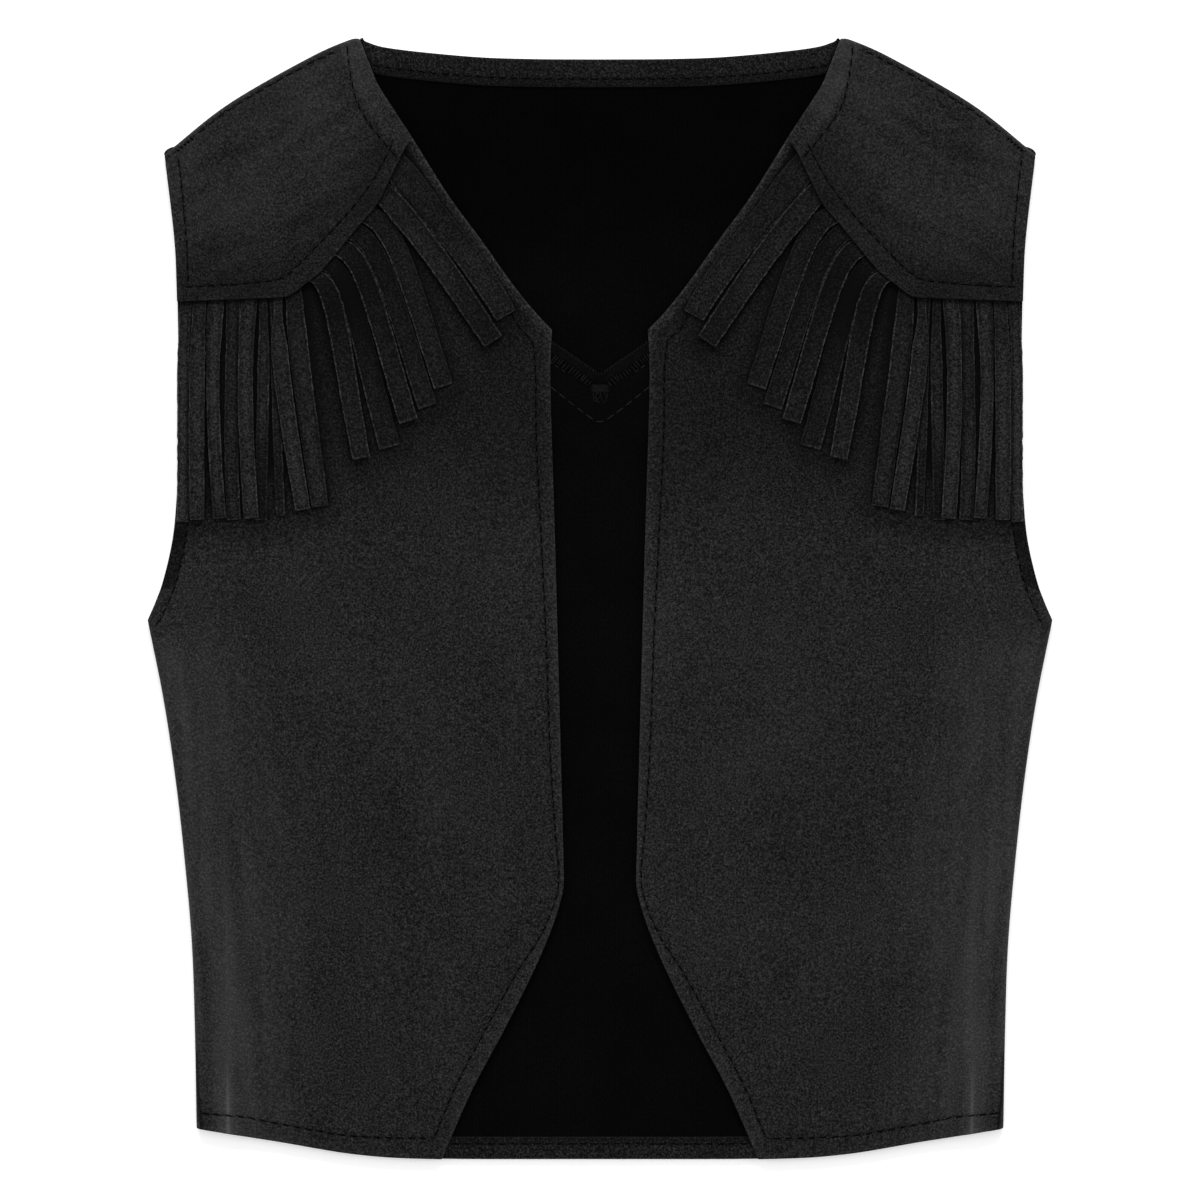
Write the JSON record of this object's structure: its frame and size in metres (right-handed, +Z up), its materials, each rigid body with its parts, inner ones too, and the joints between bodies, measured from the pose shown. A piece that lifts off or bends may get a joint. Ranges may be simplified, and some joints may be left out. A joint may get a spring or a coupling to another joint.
{
  "type": "western vest",
  "caption": "Child's open-front western vest in near-black faux suede, laid flat on its back, with diagonal front yokes and a cut fringe under each.",
  "frame": {"origin": "middle of the vest as it lies, on the surface under it", "axes": "+X to the right as seen from above, +Y from the hem to the neck, +Z up from the surface toward the viewer"},
  "size_m": [0.3616, 0.448, 0.007],
  "materials": {
    "suede": "matt napped faux suede, near black",
    "suede_wrong_side": "matt black knitted wrong side"
  },
  "bodies": {
    "root": {"back_body": "suede_wrong_side", "back_yoke": "suede_wrong_side", "back_neck_hem": "suede", "back_bottom_hem": "suede", "front_left": "suede", "front_right": "suede", "yoke_left": "suede", "yoke_right": "suede", "fringe_left": "suede", "fringe_right": "suede"}
  },
  "joints": []
}
